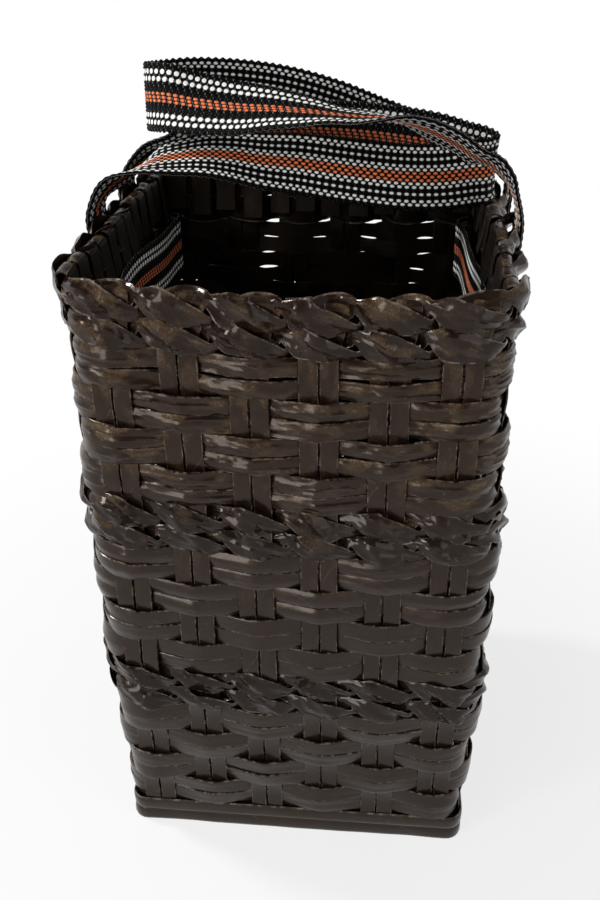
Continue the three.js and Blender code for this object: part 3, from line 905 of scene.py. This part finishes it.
def makeFootBand():
    half, radius = footBand["half"], footBand["radius"]
    straight = half - radius
    corner = []
    for angle in np.linspace(0, math.pi / 2, 7)[1:-1]:
        corner.append((straight + radius * math.sin(angle), -straight - radius * math.cos(angle),
                       math.sin(angle), -math.cos(angle)))
    count = int(2 * straight / footBand["step"])
    side = [(x, -half, 0.0, -1.0) for x in np.linspace(-straight, straight, count)]
    loop = []
    for quarters in range(4):
        for x, y, nx, ny in side + corner:
            loop.append((*turned(x, y, quarters), *turned(nx, ny, quarters)))
    loop.append(loop[0])
    loop = np.array(loop)
    along = runLength(loop[:, :2])
    wave = footBand["waveLength"]
    rings = []
    for x, y, nx, ny in loop:
        ring = []
        for out, share in footBand["profile"]:
            spot = Vector((x / wave, y / wave, share * footBand["waveAcross"]))
            ripple = footBand["wave"] * noise.noise(spot)
            push = out + (ripple if out > 0.1 else 0.0)
            z = share * footBand["height"] + (ripple * footBand["waveUp"] if share > 0.4 else 0.0)
            ring.append((x + nx * push, y + ny * push, z))
        rings.append(ring[::-1])
    rings = np.array(rings)
    shares = np.array([share for out, share in footBand["profile"]][::-1] + [0.0])
    acrossCm = np.tile(shares * footBand["height"] / 10, (len(loop), 1))
    alongCm = np.tile(along[:, None] / 10, (1, len(shares)))
    nearEdge = np.tile(np.abs(2 * shares - 1), (len(loop), 1))
    grid = np.stack([alongCm, acrossCm, nearEdge], axis=-1)
    makePaper("base_band", [(rings, grid)], paper, footBand["sharp"])


makeFootBand()
for node in ("bottom_board", "floor_board"):
    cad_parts[node].data.materials.clear()
    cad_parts[node].data.materials.append(board)
print("foot made")

# webbing: two loops that lie over the opening, with a flat run along the inside of each side wall

handle = {
    "hingeOut": 124.39,
    "hingeHeight": 372.94,
    "near": 0.0,
    "far": 72.0,
    "step": 0.84,  # mm along the webbing
    # from inside the wall, through the slot and up the outside: offset, height, width
    "leg": [
        (-1.0, 352.3, 13), (4.0, 352.5, 13), (8.4, 352.8, 14), (10.4, 355.4, 19), (12.0, 360.5, 30),
        (13.7, 366.5, 37), (14.9, 372.5, 38), (15.4, 380.0, 38), (15.4, 388.0, 38),
    ],
    "bend": (-7.0, 9.0),  # mm from the hinge, where the bend of a swung loop starts and ends
    "gather": 1.2,  # how much thicker the webbing gets where it is drawn together
    # inward from the hinge, back along the wall, above the rim, lean of the width in degrees
    "leftRoute": [
        (12, 1, 18, -18), (27, 2, 26, -6), (40, 3, 31, 12), (54, 5, 33, 20), (67, 6, 34, 26),
        (81, 8, 33, 32), (101, 10, 30, 43), (121, 12, 28, 52), (142, 13, 25, 58), (163, 15, 22, 62),
        (181, 17, 20, 66), (204, 22, 19, 70), (222, 28, 20, 76), (232, 34, 20, 82), (235, 41, 21, 86),
        (230, 48, 23, 88), (216, 53, 26, 90), (200, 56, 30, 90), (179, 59, 33, 90), (141, 62, 36, 92),
        (92, 66, 35, 100), (60, 68, 30, 116), (38, 70, 25, 146), (20, 72, 20, 154),
    ],
    "rightRoute": [
        (10, -1, 24, -14), (18, -4, 32, -22), (29, -7, 38, -26), (38, -8, 44, -28), (55, -8, 52, -26),
        (66, -6, 55, -18), (77, -4, 56, -8), (92, -1, 56, 0), (107, 1, 57, 4), (120, 3, 58, 13),
        (140, 6, 59, 25), (160, 10, 59, 38), (187, 14, 61, 52), (206, 20, 63, 68), (217, 30, 62, 78),
        (222, 44, 60, 86), (219, 58, 59, 88), (202, 71, 59, 88), (171, 79, 57, 88), (140, 83, 52, 88),
        (115, 85, 45, 90), (87, 86, 35, 96), (58, 86, 26, 112), (31, 82, 19, 140), (12, 75, 13, 168),
    ],
}


# values given at points, as one smooth curve, at even steps along it
def evenCurve(points, step):
    points = np.array(points, float)
    chord = runLength(points[:, :3])
    slopes = np.gradient(points, chord, axis=0)
    fine = np.linspace(0.0, chord[-1], int(chord[-1] / step) * 4)
    k = np.clip(np.searchsorted(chord, fine, side="right") - 1, 0, len(points) - 2)
    width = (chord[k + 1] - chord[k])[:, None]
    t = ((fine - chord[k])[:, None]) / width
    a, b = points[k], points[k + 1]
    da, db = slopes[k] * width, slopes[k + 1] * width
    curve = a * (1 + 2 * t) * (1 - t) ** 2 + b * t**2 * (3 - 2 * t)
    curve += da * t * (1 - t) ** 2 + db * t**2 * (t - 1)
    run = runLength(curve[:, :3])
    even = np.linspace(0.0, run[-1], int(run[-1] / step) + 1)
    return np.stack([np.interp(even, run, curve[:, c]) for c in range(curve.shape[1])], axis=1), even


def floatRise(along, row, face):
    shift = 0.5 * (row % 2) if face > 0 else webbing["broadShift"] * row
    offFloat = np.abs((along / webbing["float"] + shift) % 1.0 - 0.5)
    return np.clip(1 - (offFloat / webbing["riseHalf"]) ** 2, 0.0, 1.0)


# a band with its floats raised on both faces: the close white rows face along outs, the broad ones away
def bandMesh(name, centres, wides, outs, widths, thicks, along):
    rows = webbing["rows"]
    marks = np.linspace(1.0, -1.0, 2 * rows + 1)     # edge, row middle, edge ...
    ring, grid = [], []
    floats = along / webbing["float"]
    beads = webbing["selvedge"] * np.cos(2 * np.pi * floats)     # of the selvedges
    unworn = np.zeros(len(along))
    for face in (1, -1):
        for mark in marks[::face]:
            share = (1 - mark) / 2
            row = min(int(share * rows), rows - 1)
            middle = abs(share * rows - row - 0.5) < 0.1
            rise = floatRise(along, row, face) * webbing["rise"] if middle else np.zeros(len(along))
            side = mark * widths / 2 + (mark * beads if abs(mark) == 1 else 0.0)
            pinch = webbing["edgeThin"] if abs(mark) == 1 else 1.0
            out = face * (thicks / 2 * pinch + rise)
            ring.append(centres + wides * side[:, None] + outs * out[:, None])
            across = share + (2.0 if face < 0 else 0.0)
            grid.append(np.stack([floats, np.full(len(along), across), unworn], axis=1))
    grid.append(np.stack([floats, np.zeros(len(along)), unworn], axis=1))
    rings = np.stack(ring, axis=1)
    return makeMesh(name, [(rings, np.stack(grid, axis=1))], strap, webbing["sharp"])


def makeHandle(name, side, route):
    out = wall["half"]
    points = []
    for offset, z, width in handle["leg"]:
        points.append((side * (out + offset), handle["near"], z, 0.0, width))
    for inward, back, above, lean in route:
        x = side * (handle["hingeOut"] - inward)
        points.append((x, back, wall["rimTop"] + above, lean, webbing["width"]))
    for offset, z, width in handle["leg"][::-1]:
        points.append((side * (out + offset), handle["far"], z, 180.0, width))
    curve, along = evenCurve(points, handle["step"])
    centres = curve[:, :3]
    lean = np.radians(curve[:, 3])
    widths = curve[:, 4]
    wides = np.stack([np.zeros(len(lean)), np.cos(lean), np.sin(lean)], axis=1)
    wides, outs = squared(centres, wides)
    thicks = webbing["thick"] * (1 + handle["gather"] * (1 - widths / webbing["width"]))
    piece = bandMesh(name + "_webbing", centres, wides, outs, widths, thicks, along)
    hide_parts(name, name.replace("handle", "strap_anchor"))
    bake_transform(piece)


insideRun = {
    "front": -46.0,
    "back": 97.0,
    "offset": -4.2,  # from the plane of the stakes, at the front
    "away": -9.0,  # and further at the back
    "middle": 340.0,
    "sway": 1.2,
    "swayWaves": 8.0,  # radians from end to end
    "turnIn": 9.0,
    "frontTuck": 6.5,  # each end turns out into the weave
    "backTuck": 5.0,
    "tuckOn": 1.0,
}


def makeInsideRun(name, side):
    front, back = insideRun["front"], insideRun["back"]
    points = [(insideRun["offset"] + insideRun["frontTuck"], front - insideRun["tuckOn"], 0.6)]
    for share in np.linspace(0, 1, 9):
        y = front + insideRun["turnIn"] * 0.4 + share * (back - front - insideRun["turnIn"])
        sway = insideRun["sway"] * math.sin(share * insideRun["swayWaves"] + side)
        points.append((insideRun["offset"] + insideRun["away"] * share**1.5 + sway * 0.5, y, sway))
    backOut = insideRun["offset"] + insideRun["away"] + insideRun["backTuck"]
    points.append((backOut, back + insideRun["tuckOn"], 0.0))
    route = [(side * (wall["half"] + out), y, insideRun["middle"] + rise) for out, y, rise in points]
    curve, along = evenCurve(route, handle["step"])
    wides, outs = squared(curve, np.tile([0.0, 0.0, float(side)], (len(curve), 1)))
    widths = np.full(len(curve), webbing["width"])
    thicks = np.full(len(curve), webbing["thick"])
    piece = bandMesh(name, curve, wides, outs, widths, thicks, along)
    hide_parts(name.replace("inside_run", "strap_anchor"))
    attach(piece, "basket")


makeHandle("left_handle", -1, handle["leftRoute"])
makeHandle("right_handle", 1, handle["rightRoute"])
makeInsideRun("left_inside_run", -1)
makeInsideRun("right_inside_run", 1)
print("webbing made")

# camera, floor and light

view = {
    "place": (0.0554, -0.5664, 0.5443),
    "yaw": 5.99,  # degrees to the left
    "pitch": 28.89,  # degrees down
    "roll": -0.85,
    "lens": 39.516,
    "sensor": 36.0,
}


def makeCamera():
    yaw, pitch, roll = (math.radians(view[key]) for key in ("yaw", "pitch", "roll"))
    ahead = Vector((-math.sin(yaw) * math.cos(pitch), math.cos(yaw) * math.cos(pitch), -math.sin(pitch)))
    right = Vector((math.cos(yaw), math.sin(yaw), 0.0))
    up = right.cross(ahead)
    rolledRight = right * math.cos(roll) + up * math.sin(roll)
    rolledUp = up * math.cos(roll) - right * math.sin(roll)
    camera = bpy.data.cameras.new("camera")
    camera.sensor_fit = "AUTO"
    camera.sensor_width = view["sensor"]
    camera.lens = view["lens"]
    holder = bpy.data.objects.new("camera", camera)
    turn = Matrix((rolledRight, rolledUp, -ahead)).transposed()
    holder.matrix_world = Matrix.Translation(Vector(view["place"])) @ turn.to_4x4()
    bpy.context.scene.collection.objects.link(holder)
    bpy.context.scene.camera = holder


studio = {
    "floor": (0.86, 0.86, 0.86),
    "floorHalf": 6.0,
    "floorWhite": (0.76, 0.24),  # share of plain white where the floor is seen, and what distance adds
    "floorFade": (0.16, 0.6),  # metres from the middle, over which it adds
    "sky": (1.0, 0.99, 0.97, 1.0),
    "world": 0.27,
    "ceiling": [(0.15, 1.0), (0.6, 0.22)],  # height in the background, grey
    "lamps": [  # name, place, aim, size, watts
        ("window_left", (-1.25, -1.1, 1.35), (0.0, 0.0, 0.25), 0.4, 10.0),
        ("window_low", (-1.1, -1.85, 0.5), (0.0, 0.0, 0.28), 0.85, 13.5),
        ("window_back", (-1.15, 0.3, 1.5), (0.0, 0.0, 0.35), 0.3, 19.0),
        ("fill_right", (1.5, -0.9, 1.1), (0.0, 0.0, 0.2), 1.2, 6.0),
    ],
}


def makeStudio():
    mesh = bpy.data.meshes.new("floor")
    reach = studio["floorHalf"]
    corners = [(-reach, -reach, 0.0), (reach, -reach, 0.0), (reach, reach, 0.0), (-reach, reach, 0.0)]
    mesh.from_pydata(corners, [], [(0, 1, 2, 3)])
    floor = bpy.data.objects.new("floor", mesh)
    bpy.context.scene.collection.objects.link(floor)
    finish = Finish(bpy.data.materials.new("pale_floor"))
    place = finish.node("ShaderNodeTexCoord", output="Object")
    distance = finish.node("ShaderNodeVectorMath", {"operation": "LENGTH"}, {0: place}, "Value")
    cloud = finish.noise(place, 3.0, 2.0)
    pale = finish.mix(cloud, studio["floor"], tuple(c * 0.985 for c in studio["floor"]))
    finish.surfaceIs(**{"Base Color": pale, "Roughness": 0.7, "Specular IOR Level": 0.1})
    white = finish.node("ShaderNodeEmission", {}, {"Color": (1.0, 1.0, 1.0, 1.0), "Strength": 1.0})
    lit = Value(finish, finish.surface.outputs[0])
    near, more = studio["floorWhite"]
    share = finish.seen() * (near + more * finish.ramp(distance, *studio["floorFade"]))
    mixed = finish.node("ShaderNodeMixShader", {}, {"Fac": share, 1: lit, 2: white})
    finish.feed(finish.tree.nodes["Material Output"].inputs["Surface"], mixed)
    mesh.materials.append(finish.owner)
    for name, place, aim, size, watts in studio["lamps"]:
        lamp = bpy.data.lights.new(name, "AREA")
        lamp.shape = "DISK"
        lamp.size = size
        lamp.energy = watts
        holder = bpy.data.objects.new(name, lamp)
        holder.location = place
        holder.rotation_mode = "QUATERNION"
        holder.rotation_quaternion = (Vector(aim) - Vector(place)).to_track_quat("-Z", "Y")
        bpy.context.scene.collection.objects.link(holder)
    world = bpy.data.worlds.new("studio")
    sky = Finish(world)
    sky.tree.nodes.remove(sky.tree.nodes["Background"])
    height = sky.split(sky.node("ShaderNodeTexCoord", output="Generated"))[2]
    greys = [(place, (grey, grey, grey)) for place, grey in studio["ceiling"]]
    ceiling = sky.node("ShaderNodeValToRGB", {"stops": greys}, {"Fac": height})
    backdrop = sky.node("ShaderNodeBackground", {}, {"Color": ceiling})
    soft = sky.node("ShaderNodeBackground", {}, {"Color": studio["sky"], "Strength": studio["world"]})
    mixed = sky.node("ShaderNodeMixShader", {}, {"Fac": sky.seen(), 1: soft, 2: backdrop})
    sky.feed(sky.tree.nodes["World Output"].inputs["Surface"], mixed)
    bpy.context.scene.world = world


makeCamera()
makeStudio()
bpy.context.scene.view_settings.view_transform = "Standard"
print("camera and studio made")
